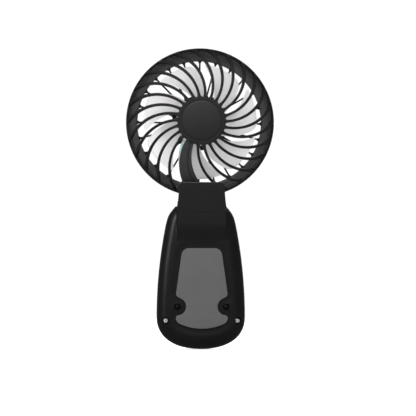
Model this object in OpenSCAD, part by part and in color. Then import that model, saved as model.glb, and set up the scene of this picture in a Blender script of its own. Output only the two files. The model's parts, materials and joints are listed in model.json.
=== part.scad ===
// Folding hand and desk fan. It stands on the bottom of its handle, +Z up.
// Air leaves towards -Y, and the back of the fan faces +Y.

/* [Head] */
// Outer diameter of the guarded head
head_d = 100; // [99:0.5:101]
// Height of the fan axis above the bottom of the handle
head_z = 152.8; // [152.8:0.1:154]
// Depth of the rear dome behind the widest rim
dome_h = 20.7; // [20.6:0.1:20.8]
// Radius of the front lip
lip_r = 45; // [44:0.5:46]
// Thickness of the guard walls
guard_t = 1.6; // [1.4:0.1:1.8]

/* [Rear ribs] */
// Positions round the rear guard, of which the cable rib takes two
rear_ribs = 26; // [24:1:28]
// Width of a rear rib
rib_w = 1.65; // [1.2:0.05:1.8]
// Radius of the arc that each rear rib follows
rib_arc_r = 29.4; // [28:0.2:31]
// Distance of the centre of that arc from the fan axis
rib_arc_c = 32.75; // [32:0.25:34]
// Outer radius of the hub flange
flange_r = 16.3; // [16:0.1:17]

/* [Front ribs] */
// Number of straight ribs in the front guard
front_ribs = 24; // [18:1:28]
// Width of a front rib
front_rib_w = 1.1; // [0.9:0.1:1.4]
// Radius of the front opening
opening_r = 41.9; // [41:0.1:42.5]
// Radius of the centre disc of the front guard
disc_r = 18.5; // [17:0.5:20]

/* [Impeller] */
// Number of blades
blades = 7; // [5:1:9]
// Tip radius of the blades
tip_r = 38.5; // [36:0.5:39]
// Outer radius of the impeller hub
hub_r = 15.8; // [15.5:0.1:16]
// Thickness of a blade
blade_t = 1.2; // [1:0.1:1.6]

/* [Motor] */
// Outer radius of the motor can
can_r = 12.2; // [11.9:0.1:12.2]
// Length of the motor
motor_l = 11.6; // [11:0.1:11.6]
// Radius of the motor shaft
shaft_r = 1; // [0.8:0.05:1]

/* [Handle] */
// Widest width of the handle
handle_w = 59.2; // [58:0.2:59.8]
// Height of the widest point, where the rounded bottom ends
belly_z = 22; // [21:0.5:23]
// Back of the handle shell, behind the fan axis plane
back_y = 15; // [14.8:0.1:15.2]
// Front of the handle shell
front_y = -8; // [-8.2:0.1:-8]
// Plane where the two shells meet
split_y = 4; // [3:0.5:5]
// Wall thickness of the shells
wall = 1.6; // [1.4:0.1:1.8]
// Top of the front shell, under the hinge
front_top = 91.7; // [91:0.1:91.9]
// Top of the tongue behind the head
tongue_top = 111.6; // [110:0.2:112]
// Rear face of the tongue and the pad, the plane the fan lies on
rest_y = 16; // [15.8:0.1:16.2]

/* [Hinge] */
// Height of the tilt axis
tilt_z = 97.5; // [97.5:0.1:97.6]
// Depth of the tilt axis
tilt_y = -3; // [-3.1:0.1:-3]
// Radius of the tilt pin
pin_r = 1.5; // [1.3:0.1:1.6]
// Half the width of the stem between the ears
stem_x = 8; // [7:0.5:8]

/* [Controls] */
// Height of the power button
button_z = 70; // [66:1:74]
// Radius of the power button
button_r = 6; // [5:0.5:6.5]
// Travel of the power button
button_travel = 0.8; // [0.5:0.1:0.8]
// Height of the row of indicator windows
led_z = 54; // [52:1:56]

/* [Hidden] */

$fn = 96;
eps = 0.05;
through = 60;          // length of a cutter that goes right through
head_r = head_d / 2;
rim_y = -6;            // plane of the widest rim
lip_y = -14.5;         // front face of the bowl
guard_split_y = -7;    // plane where the two guards meet
band_y = -1.5;         // rear edge of the solid band round the rear guard
dome_power = 3;        // squareness of the dome's profile
rib_depth = 2.2;
cable_rib_k = 16;      // the cable rib runs from this rib position to the next
cable_rib_rise = 0.5;  // how far the cable rib stands above the other ribs
wire_y = 3.4;          // depth of the bore that takes the leads down the stem
wire_bore_r = 1.8;
rib_phase = 76.1;      // rear-view angle of the arc centre of rib 0

motor_y = 0.8;         // front face of the motor
pot_r = can_r + 0.1;   // inside of the motor pot
pot_wall = 1.6;
pot_r2 = pot_r + pot_wall;
motor_end = motor_y + motor_l;
cover_y = 13.3;        // back of the pot, where the motor cover sits
cover_r = 13.4;
cover_t = 2.1;
flange_y = 12.4;
can_wall = 0.6;
bush_r = 1.9;

bottom_power = 2.3;    // squareness of the rounded bottom
side_curve = 0.00163;  // how fast the sides draw in with height
shoulder_z = 76.9;
shoulder_r = 27;
shoulder_x = -2.3;
shoulder_blend = 0.8;      // softens the corner between side and shoulder
neck_z = 95.4;         // the shoulder meets the neck here
neck_top_w = 15.3;
neck_flare = 0.0044;
edge_r = 9;            // rounding of the rear edge, seen from behind
front_edge_r = 6;
tongue_w = 16.5;
tongue_y = 12.9;       // front face of the tongue
ear_r = 5;
ear_gap = stem_x + 0.6;

// Screws that join the shells: place in X and Z, depth of the seat, and radii
case_screw = [24, 19];
case_seat_y = 11.2;
case_head_r = 1.65;
case_hole_r = 2.2;
case_boss_r = 2.8;
case_boss_y = -4;      // front end of the outer bosses, inside the rounded edge
case_screw_l = 10;
boss_screw = [16.3, 28.3];
boss_seat_y = 12.6;
boss_head_r = 1.7;
boss_hole_r = 2.7;
boss_boss_r = 3.4;
boss_screw_l = 12;
thread_r = 0.8;
clearance_r = 1.1;
pad_t = 1.8;           // thickness of the pad, and depth of its pocket

// ---- shared shapes ----

// Points of an arc from angle a0 to a1
function arc(c, r, a0, a1, n = 10) =
    [for (i = [0:n]) let(a = a0 + (a1 - a0) * i / n) [c[0] + r * cos(a), c[1] + r * sin(a)]];

// An outline and its mirror image across x = 0, as one closed loop
function both_sides(pts) = concat(pts, [for (i = [len(pts) - 1:-1:0]) [-pts[i][0], pts[i][1]]]);

// A flat outline in X and Z, made solid from depth y0 to y1
module slab(y0, y1) {
    translate([0, y1, 0]) rotate([90, 0, 0]) linear_extrude(y1 - y0) children();
}

// A flat outline in Y and Z, made solid from x0 to x1
module sideways(x0, x1) {
    translate([x0, 0, 0]) rotate([90, 0, 90]) linear_extrude(x1 - x0) children();
}

// A profile of radius and depth, turned round the fan axis
module turned(profile) {
    translate([0, 0, head_z]) rotate([-90, 0, 0]) rotate_extrude() polygon(profile);
}

// A rod along Y at the place p in X and Z
module rod(p, r, y0, y1) {
    translate([p[0], y1, p[1]]) rotate([90, 0, 0]) cylinder(h = y1 - y0, r = r, $fn = 48);
}

// A rod along the tilt axis, centred at x
module across(x, length, r) {
    translate([x, tilt_y, tilt_z]) rotate([0, 90, 0]) cylinder(h = length, r = r, center = true, $fn = 48);
}

// The same thing on both sides of the handle
module pair() {
    children();
    mirror([1, 0, 0]) children();
}

// Joins closed rings of equally many points into one solid
module loft(rings) {
    n = len(rings[0]);
    last = len(rings) - 1;
    polyhedron(
        points = [for (ring = rings) each ring],
        faces = concat(
            [[for (i = [0:n - 1]) i]],
            [for (k = [0:last - 1], i = [0:n - 1])
                let(j = (i + 1) % n) each [
                    [k * n + i, (k + 1) * n + i, (k + 1) * n + j],
                    [k * n + i, (k + 1) * n + j, k * n + j]
                ]],
            [[for (i = [n - 1:-1:0]) last * n + i]]
        )
    );
}

function unit(v) = v / norm(v);

// A ring of a round wire, square to the direction t
function wire_ring(p, t, r, sides) =
    let(u = unit(cross(t, [1, 0.2, 0.1])), v = unit(cross(t, u)))
    [for (i = [0:sides - 1]) let(a = 360 * i / sides) p + r * (cos(a) * u + sin(a) * v)];

// A round wire along the points of a route
module wire(route, r, sides = 8) {
    last = len(route) - 1;
    loft([for (i = [0:last])
        wire_ring(route[i], unit(route[min(i + 1, last)] - route[max(i - 1, 0)]), r, sides)]);
}

// ---- handle outline ----

// Half width of the handle at height z, drawn in by d all round
function side_w(z, d) =
    z < belly_z
        ? (handle_w / 2 - d)
            * pow(max(0, 1 - pow((belly_z - z) / (belly_z - d), bottom_power)), 1 / bottom_power)
        : handle_w / 2 - side_curve * pow(z - belly_z, 2) - d;
function shoulder_w(z, d) =
    z < shoulder_z ? handle_w
        : shoulder_x + sqrt(max(0, pow(shoulder_r - d, 2) - pow(z - shoulder_z, 2)));
// The smaller of two widths, with the corner between them eased over the length k
function soft_min(a, b, k) = min(a, b) - pow(max(k - abs(a - b), 0), 2) / (4 * k);
function neck_w(z) = neck_top_w + neck_flare * pow(tongue_top - z, 2);
function half_w(z, d) =
    z < belly_z ? side_w(z, d)
        : z > neck_z ? neck_w(z) - d
        : max(neck_w(neck_z) - d, soft_min(side_w(z, d), shoulder_w(z, d), shoulder_blend));

// Heights of the outline's points, closer together at the rounded bottom
function bottom_zs(d) = [for (i = [0:9]) belly_z - (belly_z - d) * cos(90 * i / 9)];
function handle_zs(d, top) = concat(
    bottom_zs(d),
    [for (z = [34:12:82]) z],
    [for (z = [86:3:neck_z]) if (z < top - 0.5) z],
    [for (z = [neck_z, neck_z + 3]) if (z < top - 0.5) z],
    [top]
);
function handle_outline(d, top) =
    both_sides([for (z = handle_zs(d, top)) [z <= d + eps ? eps : half_w(z, d), z]]);
function at_depth(pts, y) = [for (p = pts) [p[0], y, p[1]]];

// How far a rounded edge of radius r has drawn in, a fraction t of the way to its end
function edge_inset(r, t) = r * (1 - sqrt(1 - t * t));

edge_steps = [0, 0.45, 0.7, 0.87, 0.97, 1];

// One half of the handle, from the split to the face at y_face
module handle_half(y_face, r, d, top) {
    y_start = split_y + (y_face > split_y ? 2 : -2);
    insets = concat([[split_y, 0]],
        [for (t = edge_steps) [y_start + (y_face - y_start) * t, edge_inset(r, t)]]);
    rings = [for (s = insets) at_depth(handle_outline(d + s[1], top), s[0])];
    loft(y_face < split_y ? rings : [for (i = [len(rings) - 1:-1:0]) rings[i]]);
}

// ---- pad outline ----

pad_top = 67.4;
pad_corner = 5;
pad_lean = 8;          // lean of the pad's sides
pad_side = [13.7, 62.5];
notch_r = 5.76;
upper_fillet = 3;      // of the pad's corner above the notch
lower_fillet = 1.8;    // and below it
pad_low_x = 17.4;
pad_low_corner = 4.4;
pad_low_arc = 36;
pad_bottom = 13.5;

// X of the pad's leaning side at height z
function pad_side_x(z) = pad_side[0] + (pad_side[1] - z) * tan(pad_lean);
pad_top_z = pad_top - pad_corner;
pad_top_c = [pad_side_x(pad_top_z) - pad_corner / cos(pad_lean), pad_top_z];
upper_z = boss_screw[1] + notch_r + upper_fillet;
upper_c = [pad_side_x(upper_z) - upper_fillet / cos(pad_lean), upper_z];
lower_x = pad_low_x - lower_fillet;
lower_c = [lower_x,
    boss_screw[1] - sqrt(pow(notch_r + lower_fillet, 2) - pow(lower_x - boss_screw[0], 2))];
low_arc_c = [0, pad_bottom + pad_low_arc];
low_corner_x = pad_low_x - pad_low_corner;
low_corner_c = [low_corner_x,
    low_arc_c[1] - sqrt(pow(pad_low_arc - pad_low_corner, 2) - pow(low_corner_x, 2))];
low_angle = atan2(low_corner_c[1] - low_arc_c[1], low_corner_x);
upper_angle = atan2(upper_c[1] - boss_screw[1], upper_c[0] - boss_screw[0]);
lower_angle = 360 + atan2(lower_c[1] - boss_screw[1], lower_c[0] - boss_screw[0]);

module pad_outline() {
    polygon(both_sides(concat(
        arc(pad_top_c, pad_corner, 90, pad_lean, 8),
        arc(upper_c, upper_fillet, pad_lean, upper_angle - 180, 5),
        arc(boss_screw, notch_r, upper_angle, lower_angle, 12),
        arc(lower_c, lower_fillet, lower_angle - 180, 0, 5),
        arc(low_corner_c, pad_low_corner, 0, low_angle, 6),
        arc(low_arc_c, pad_low_arc, low_angle, -90 + 3, 5)
    )));
}

// ---- handle ----

// Neck outline above the front shell, up to the height top
module neck_outline(top) {
    zs = [front_top + 0.2, neck_z, neck_z + 4, top];
    polygon(both_sides([for (z = zs) [z > neck_z ? neck_w(z) : min(half_w(z, 0), tongue_w + 2), z]]));
}

module ears() {
    intersection() {
        slab(front_y, tongue_y + 0.1) neck_outline(tilt_z + ear_r);
        sideways(-tongue_w - 3, tongue_w + 3) union() {
            translate([tilt_y, tilt_z]) circle(ear_r);
            polygon([[front_y, front_top], [front_y, tilt_z], [tilt_y, tilt_z], [tilt_y, tilt_z + ear_r],
                [tongue_y + 0.1, tilt_z + ear_r], [tongue_y + 0.1, front_top]]);
        }
    }
}

// Flat tongue behind the head, which runs down the back and fades out above the pad
module tongue() {
    foot = pad_top + 0.6;
    full = 83;
    corner = 2.5;
    intersection() {
        slab(tongue_y, rest_y) polygon(both_sides(concat(
            [[tongue_w, foot], [tongue_w, neck_z]],
            [for (z = [neck_z + 3, neck_z + 7]) [neck_w(z), z]],
            arc([neck_top_w - corner, tongue_top - corner], corner, 0, 90, 6)
        )));
        sideways(-tongue_w - 1, tongue_w + 1) polygon([[tongue_y, foot], [back_y - 0.2, foot], [rest_y, full],
            [rest_y, tongue_top - 0.6], [rest_y - 0.6, tongue_top], [tongue_y, tongue_top]]);
    }
}

module rear_shell() color("#1c1c1d") {
    difference() {
        union() {
            difference() {
                handle_half(back_y, edge_r, 0, tilt_z + ear_r);
                handle_half(tongue_y, edge_r - wall, wall, front_top - wall);
            }
            ears();
            tongue();
            pair() rod(case_screw, case_boss_r, split_y, case_seat_y);
            pair() rod(boss_screw, boss_boss_r, split_y, tongue_y + 1.1);
        }
        // Slot between the ears, open to the inside of the handle
        slab(-through / 2, tongue_y) translate([-ear_gap, front_top - 2 * wall]) square([2 * ear_gap, 16]);
        slab(rest_y - pad_t, rest_y + 1) pad_outline();
        pair() rod(case_screw, clearance_r, split_y - 1, rest_y);
        pair() rod(case_screw, case_hole_r, case_seat_y, rest_y + 1);
        pair() rod(boss_screw, clearance_r, split_y - 1, rest_y);
        pair() rod(boss_screw, boss_hole_r, boss_seat_y, rest_y + 1);
        across(0, through, pin_r);
    }
}

module front_shell() color("#1c1c1d") {
    difference() {
        union() {
            difference() {
                handle_half(front_y, front_edge_r, 0, front_top);
                handle_half(front_y + wall, front_edge_r - wall, wall, front_top - wall);
            }
            pair() rod(case_screw, case_boss_r, case_boss_y, split_y);
            pair() rod(boss_screw, boss_boss_r, front_y + wall - 0.6, split_y);
        }
        pair() rod(case_screw, thread_r, case_boss_y + 1, split_y + 1);
        pair() rod(boss_screw, thread_r, front_y + wall, split_y + 1);
        rod([0, button_z], button_r + button_gap, front_y - 1, front_y + wall + 1);
        rod([0, button_z], ring_r + 0.1, front_y - 1, front_y + ring_t);
        for (x = led_xs) rod([x, led_z], window_r, front_y - 1, front_y + wall + 1);
        translate([-usb_w / 2 - usb_gap, -usb_h / 2 - usb_gap, -1])
            cube([usb_w + 2 * usb_gap, usb_h + 2 * usb_gap, 6]);
    }
}

module rear_pad() color("#66686b") {
    slab(rest_y - pad_t, rest_y) pad_outline();
}

// Pan-head screw along Y with a cross recess
module screw(p, seat_y, head_radius, length) {
    head_h = 1.1;
    recess = [1.4 * head_radius, 1, 0.5];
    difference() {
        union() {
            rod(p, head_radius, seat_y, seat_y + head_h);
            rod(p, thread_r, seat_y - length, seat_y + eps);
        }
        for (a = [45, 135])
            translate([p[0], seat_y + head_h, p[1]]) rotate([0, a, 0]) cube(recess, center = true);
    }
}

module case_screws() color("#c9cbcc") pair() screw(case_screw, case_seat_y, case_head_r, case_screw_l);
module boss_screws() color("#202020") pair() screw(boss_screw, boss_seat_y, boss_head_r, boss_screw_l);

// ---- inside the handle ----

board_y = -2.4;        // front face of the main board
board_t = 1.2;
switch_h = 2.4;        // height of the switch and its plunger above the board
cell = [33.6, 9.4, 50];
cell_place = [-16.8, 2.9, 33];
usb_w = 8.94;
usb_h = 3.26;
usb_gap = 0.2;
charge_y = -usb_h / 2 - board_t;   // the port sits behind its own board, on the plane y = 0
led_xs = [-6, -2, 2, 6];
window_r = 1;
button_gap = 0.3;
ring_r = button_r + 1.4;
ring_t = 0.5;

module battery_cell() color("#7f8fa6") translate(cell_place) cube(cell);

module main_board() color("#1f6b3a") {
    translate([-11, board_y, 48]) cube([22, board_t, 38]);
    translate([-8, board_y + board_t, 60]) cube([5, 1.2, 5]);
    translate([2, board_y + board_t, 74]) cube([4, 1.4, 4]);
}

module charge_board() color("#1f6b3a") {
    translate([-8, charge_y, 3.2]) cube([16, board_t, 13]);
    translate([-3, charge_y + board_t, 11]) cube([4, 1.2, 4]);
}

module tact_switch() color("#9a9a9a") {
    body = [6, 2, 6];
    translate([-body[0] / 2, board_y - body[1], button_z - body[2] / 2]) cube(body);
    rod([0, button_z], 1.7, board_y - switch_h, board_y - body[1]);
}

module indicator_leds() color("#e8f0e0") {
    led = [1.6, 0.8, 1];
    for (x = led_xs) translate([x - led[0] / 2, board_y - led[1], led_z - led[2] / 2]) cube(led);
}

// Clear bar with a light pipe for each window, held by two pins
module light_guide() color("#dfe6ea") {
    inner = front_y + wall;
    bar = [17, 1.2, 4];
    difference() {
        translate([-bar[0] / 2, inner, led_z - bar[2] / 2]) cube(bar);
        for (x = [-7.6, 7.6]) rod([x, led_z], 0.5, inner - 1, inner + 2);
    }
    for (x = led_xs) rod([x, led_z], window_r - eps, front_y + 0.1, inner + eps);
}

module usb_port() color("#b9bcbf") {
    shell = 0.35;
    depth = 7.3;
    bottom = 1.2;
    difference() {
        translate([-usb_w / 2, -usb_h / 2, bottom]) cube([usb_w, usb_h, depth]);
        translate([-usb_w / 2 + shell, -usb_h / 2 + shell, bottom - 1])
            cube([usb_w - 2 * shell, usb_h - 2 * shell, depth]);
    }
    // Contact tongue
    translate([-3.3, -0.35, bottom + 0.8]) cube([6.6, 0.7, depth - 1.2]);
}

module tilt_pin() color("#b8babc") across(0, 31, pin_r);

module friction_washers() color("#8f9194") {
    thick = 0.5;
    pair() difference() {
        across(stem_x + eps + thick / 2, thick, 4);
        across(stem_x, through / 2, pin_r);
    }
}

// Leads of one side: from the head down to the main board, and from there to the charging board
lead_down = [[2, 5.2, 95], [2, 5.4, 92], [2.4, 5, 89.2], [3.2, 2.6, 87], [4, 0.2, 85.6], [4, -0.5, 83.5]];
charge_lead = [[14, 0, 60], [15, 0, 52], [13, 0, 40], [9, 0, 26], [5, -0.5, 16], [5, -0.5, 12]];

module board_leads() color("#b03030") pair() {
    wire(lead_down, 0.6);
    wire(charge_lead, 0.6);
}

// ---- controls ----

module button_ring() color("#3a3b3d") {
    difference() {
        rod([0, button_z], ring_r, front_y - 0.3, front_y + ring_t);
        rod([0, button_z], button_r + button_gap, front_y - 1, front_y + 1);
    }
}

module power_button() color("#2a2b2d") {
    inner = front_y + wall;
    collar_t = 0.5;
    rod([0, button_z], button_r, front_y - 0.9, inner + 0.1);
    rod([0, button_z], button_r + 0.8, inner + 0.1, inner + 0.1 + collar_t);
    rod([0, button_z], 1.5, inner + 0.1 + collar_t, board_y - switch_h - button_travel - 0.1);
}

// ---- guards ----

// Radius of the bowl's outside at depth y
function bowl_r(y) = lip_r + (head_r - lip_r) * sqrt(max(0, 1 - pow((rim_y - y) / (rim_y - lip_y), 2)));
// Depth of the dome's outside at radius r, drawn in by d
function dome_y(r, d) =
    rim_y + (dome_h - d) * pow(max(0, 1 - pow(r / (head_r - d), dome_power)), 1 / dome_power);

// Radius of the dome's outside at depth y, drawn in by d
function dome_r(y, d) =
    (head_r - d) * pow(1 - pow(max(0, y - rim_y) / (dome_h - d), dome_power), 1 / dome_power);

dome_rs = [flange_r - 1, 24, 31, 37, 42, 45.5, 48, head_r - 0.7, head_r - 0.2];

// Cross-section of the dome between the outside raised by rise and a depth below it
function dome_section(rise, depth) = concat(
    [for (r = dome_rs) [r, dome_y(r, 0) + rise]],
    [[head_r, rim_y + rise], [head_r, rim_y], [head_r - guard_t, rim_y - 1]],
    [for (i = [len(dome_rs) - 1:-1:0])
        let(r = dome_rs[i]) if (r < head_r - depth - 0.3) [r, dome_y(r, depth)]]
);

// Arc centre angle of rib k, seen from behind
function rib_angle(k) = rib_phase + 360 * k / rear_ribs;

// Flat area between two arcs of the rib family, drawn as seen from behind
module arc_band(angle_a, r_a, angle_b, r_b) {
    difference() {
        rotate(angle_a) intersection() {
            translate([rib_arc_c, 0]) circle(r_a);
            translate([0, -2 * head_r]) square([2 * head_r, 2 * head_r]);
        }
        rotate(angle_b) translate([rib_arc_c, 0]) circle(r_b);
    }
}

// A flat drawing seen from behind the head, made solid from depth y0 to y1
module from_behind(y0, y1) {
    translate([0, 0, head_z]) slab(y0, y1) mirror([1, 0]) children();
}

module rear_guard() color("#202021") {
    // Spiral ribs
    intersection() {
        turned(dome_section(0, rib_depth));
        from_behind(rim_y - 2, rim_y + 22) for (k = [0:rear_ribs - 1])
            if (k != cable_rib_k && k != cable_rib_k + 1)
                arc_band(rib_angle(k), rib_arc_r + rib_w / 2, rib_angle(k), rib_arc_r - rib_w / 2);
    }
    // Hub flange
    flange_top = dome_y(flange_r, 0) + 0.4;
    turned([[cover_r + 0.1, flange_y], [flange_r, flange_y], [flange_r, flange_top - 0.4],
        [flange_r - 0.5, flange_top], [cover_r + 0.1, flange_top]]);
    motor_pot();
    // Cable rib, rim and stem, with the bore that takes the leads down through them
    difference() {
        union() {
            cable_rib();
            rim();
            stem();
        }
        translate([0, wire_y, tilt_z - 1.5]) cylinder(h = 12, r = wire_bore_r, $fn = 32);
    }
}

// Wide rib that covers the motor leads
module cable_rib() {
    intersection() {
        turned(dome_section(cable_rib_rise, rib_depth));
        from_behind(rim_y - 2, rim_y + 22) arc_band(rib_angle(cable_rib_k), rib_arc_r + rib_w / 2,
            rib_angle(cable_rib_k + 1), rib_arc_r - rib_w / 2);
    }
}

// Solid band round the widest part
module rim() {
    outer = concat([for (y = [band_y:-1.5:rim_y]) [dome_r(y, 0), y]],
        [[bowl_r(guard_split_y), guard_split_y]]);
    inner = [for (i = [len(outer) - 1:-1:0]) outer[i] - [guard_t, 0]];
    turned(concat(outer, inner));
}

motor_screw_x = 5;
pot_floor = 1.4;
lead_exit_angle = 238;

// Cup that holds the motor, with its floor at the front
module motor_pot() {
    floor_y = motor_y - pot_floor;
    difference() {
        turned([[3.2, floor_y], [pot_r2, floor_y], [pot_r2, cover_y - 0.2], [pot_r, cover_y - 0.2],
            [pot_r, motor_y], [3.2, motor_y]]);
        for (s = [-1, 1]) rod([s * motor_screw_x, head_z], clearance_r, floor_y - 1, motor_y + 1);
        rod_out(lead_exit_angle, 1.1, 11);
    }
}

// A hole straight out from the fan axis, at an angle seen from behind
module rod_out(angle, r, y) {
    translate([0, y, head_z]) rotate([0, angle - 180, 0]) translate([10, 0, 0]) rotate([0, 90, 0])
        cylinder(h = 6, r = r, $fn = 32);
}

// Stem under the head, with the barrel that turns on the tilt pin
module stem() {
    stem_front = -5;
    stem_back = 6;
    head_in = concat([[0, stem_front - 1], [head_r - guard_t, stem_front - 1]],
        [for (y = [rim_y + 3:2:stem_back + 4]) [dome_r(y, guard_t), y]], [[0, stem_back + 4]]);
    difference() {
        sideways(-stem_x, stem_x) union() {
            translate([tilt_y, tilt_z]) circle(ear_r - 0.2);
            polygon([[stem_front, tilt_z], [stem_front, tilt_z + 7], [stem_back, tilt_z + 10],
                [stem_back, tilt_z + 2.5], [1, tilt_z]]);
        }
        turned(head_in);
        across(0, through, pin_r + eps);
    }
}

module motor_cover() color("#222223") {
    plug_r = pot_r - 0.2;
    turned([[0, cover_y - 0.8], [plug_r, cover_y - 0.8], [plug_r, cover_y], [cover_r, cover_y],
        [cover_r, cover_y + cover_t - 0.7], [cover_r - 0.7, cover_y + cover_t], [0, cover_y + cover_t]]);
}

module front_guard() color("#202021") {
    ys = [for (i = [0:6]) guard_split_y - 0.05 + (lip_y - guard_split_y) * sin(90 * i / 6)];
    inner = [for (i = [6:-1:0]) [bowl_r(ys[i]) - guard_t, max(ys[i], lip_y + guard_t)]];
    turned(concat([for (y = ys) [bowl_r(y), y]], [[opening_r, lip_y], [opening_r, lip_y + guard_t]], inner));
    // Straight ribs
    slab(lip_y, lip_y + rib_depth) translate([0, head_z]) difference() {
        union() for (i = [0:front_ribs - 1])
            rotate(165.5 - 360 * i / front_ribs) translate([0, -front_rib_w / 2])
                square([opening_r + 0.6, front_rib_w]);
        circle(disc_r - 0.5);
    }
    turned([[0, lip_y + 0.4], [disc_r - 0.6, lip_y + 0.4], [disc_r - 0.6, lip_y - 0.5], [disc_r, lip_y - 0.5],
        [disc_r, lip_y + rib_depth], [0, lip_y + rib_depth]]);
}

module front_badge() color("#141415") {
    badge_r = disc_r - 0.7;
    turned([[0, lip_y + 0.4], [badge_r, lip_y + 0.4], [badge_r, lip_y - 0.8], [badge_r - 1, lip_y - 1.3],
        [0, lip_y - 1.5]]);
}

// ---- motor ----

module motor_can() color("#a9abad") {
    floor_t = 0.8;
    can_in = can_r - can_wall;
    difference() {
        turned([[2, motor_y], [can_in, motor_y], [can_r, motor_y + can_wall], [can_r, motor_end - 0.6],
            [can_in, motor_end - 0.6], [can_in, motor_y + floor_t], [2, motor_y + floor_t]]);
        for (s = [-1, 1]) rod([s * motor_screw_x, head_z], 0.85, motor_y - 1, motor_y + 2);
    }
}

module motor_magnets() color("#4a4a4c") {
    from_behind(motor_y + 1.8, motor_end - 2.2) for (a = [0, 180]) rotate(a) difference() {
        intersection() {
            circle(can_r - can_wall - eps);
            polygon([[0, 0], [20, 12], [20, -12]]);
        }
        circle(8.6);
    }
}

// A round disc with a hole, centred on the fan axis
module washer(r_in, r_out, y0, y1) {
    turned([[r_in, y0], [r_out, y0], [r_out, y1], [r_in, y1]]);
}

module motor_end_cap() color("#e6e2d8") washer(bush_r, can_r - can_wall, motor_end - 1.4, motor_end);

bore_r = shaft_r + 0.03;
module front_bush() color("#b5873c") washer(bore_r, 2, motor_y - 0.9, motor_y + 1.4);
module rear_bush() color("#b5873c") washer(bore_r, bush_r, motor_end - 1.4, motor_end - 0.2);

module brushes() color("#3a3431") {
    brush = [4.5, 0.65, 1.4];
    for (a = [0, 180]) translate([0, 0, head_z]) rotate([0, a, 0])
        translate([2.2, motor_end - 2.1, -brush[2] / 2]) cube(brush);
}

module motor_screws() color("#8d8f91") {
    seat = motor_y - pot_floor;
    for (s = [-1, 1]) {
        rod([s * motor_screw_x, head_z], 1.7, seat - 1.1, seat);
        rod([s * motor_screw_x, head_z], thread_r, seat - eps, motor_y + 0.8);
    }
}

// Radius and rear-view angle along the leads: out of the pot, beside the cable rib, then under it
lead_route = [[14.4, 238], [17, 235], [19.5, 233.2], [22, 233.4], [25, 238], [29, 246], [34, 253],
    [39, 259], [42.6, 265], [44, 268]];
// Depth and height where the leads go down through the rim and the stem
lead_end = [[2.4, 107.2], [3, 105.4], [3.4, 103], [3.4, 99.8]];
function lead_y(r) = dome_y(r, rib_depth + 1);
function on_head(r, angle, y) = [-r * cos(angle), y, head_z + r * sin(angle)];

module motor_leads() color("#9fd0d6") {
    for (s = [-0.7, 0.7]) wire(concat(
        [for (p = lead_route) on_head(p[0], p[1] - s * 180 / PI / p[0], lead_y(p[0]))],
        [for (p = lead_end) [s, p[0], p[1]]]
    ), 0.45);
}

// ---- turning parts ----

// Rear-view angles of a gap's two sides at radius r
function gap_low(r) = 11 + 1.31 * (r - 19) + 0.0008 * pow(r - 19, 2);
function gap_high(r) = 23 + 1.17 * (r - 19);

// A point of blade surface: s runs from the trailing edge (0) to the leading edge (1)
function blade_point(r, s, side) =
    let(pitch = 360 / blades,
        angle = gap_high(r) + (gap_low(r) + pitch - gap_high(r)) * s,
        reach = (r - hub_r) / (tip_r - hub_r),
        front = -9.5 + 1.5 * reach,
        rear = 8 - 1.5 * reach,
        camber = 1.6 * sin(180 * s),
        half_t = blade_t / 2 * (0.45 + 0.55 * sin(180 * s)))
    on_head(r, angle, front + (rear - front) * s - camber + side * half_t) - [0, 0, head_z];

module blade() {
    steps = 8;
    rings = [for (i = [0:6]) let(r = hub_r - 0.8 + (tip_r - hub_r + 0.8) * i / 6)
        concat([for (k = [0:steps]) blade_point(r, k / steps, 1)],
            [for (k = [steps:-1:0]) blade_point(r, k / steps, -1)])];
    loft([for (i = [len(rings) - 1:-1:0]) rings[i]]);
}

module impeller() color("#eceeee") {
    hub_front = -10.5;
    hub_back = 8.5;
    hub_in = hub_r - 1.2;
    boss_back = motor_y - 2.8;
    turned([[shaft_r, hub_front + 1.2], [2.2, hub_front], [hub_r - 2, hub_front], [hub_r, hub_front + 2],
        [hub_r, hub_back], [hub_in, hub_back], [hub_in, hub_front + 2.2], [hub_in - 1, hub_front + 1.4],
        [3.2, hub_front + 1.4], [3.2, boss_back], [shaft_r, boss_back]]);
    translate([0, 0, head_z]) for (i = [0:blades - 1]) rotate([0, 360 * i / blades, 0]) blade();
}

module motor_shaft() color("#d0d2d4") {
    rod([0, head_z], shaft_r, -9, motor_end - 0.3);
}

module armature() color("#9c5a34") {
    from_behind(motor_y + 2.2, motor_end - 3.4) difference() {
        union() for (a = [90, 210, 330]) rotate(a) {
            translate([0, -1.4]) square([7, 2.8]);
            intersection() {
                difference() {
                    circle(8.2);
                    circle(6.4);
                }
                polygon([[0, 0], [20, 26], [20, -26]]);
            }
        }
        circle(shaft_r);
    }
}

module commutator() color("#b87333") washer(shaft_r, 2.1, motor_end - 3.3, motor_end - 1.5);

rear_shell();
front_shell();
rear_pad();
case_screws();
boss_screws();
battery_cell();
main_board();
charge_board();
tact_switch();
indicator_leds();
light_guide();
usb_port();
tilt_pin();
friction_washers();
board_leads();
button_ring();
power_button();
front_guard();
front_badge();
rear_guard();
motor_cover();
motor_can();
motor_magnets();
motor_end_cap();
front_bush();
rear_bush();
brushes();
motor_screws();
motor_leads();
impeller();
motor_shaft();
armature();
commutator();
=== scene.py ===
import json
import math

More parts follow.
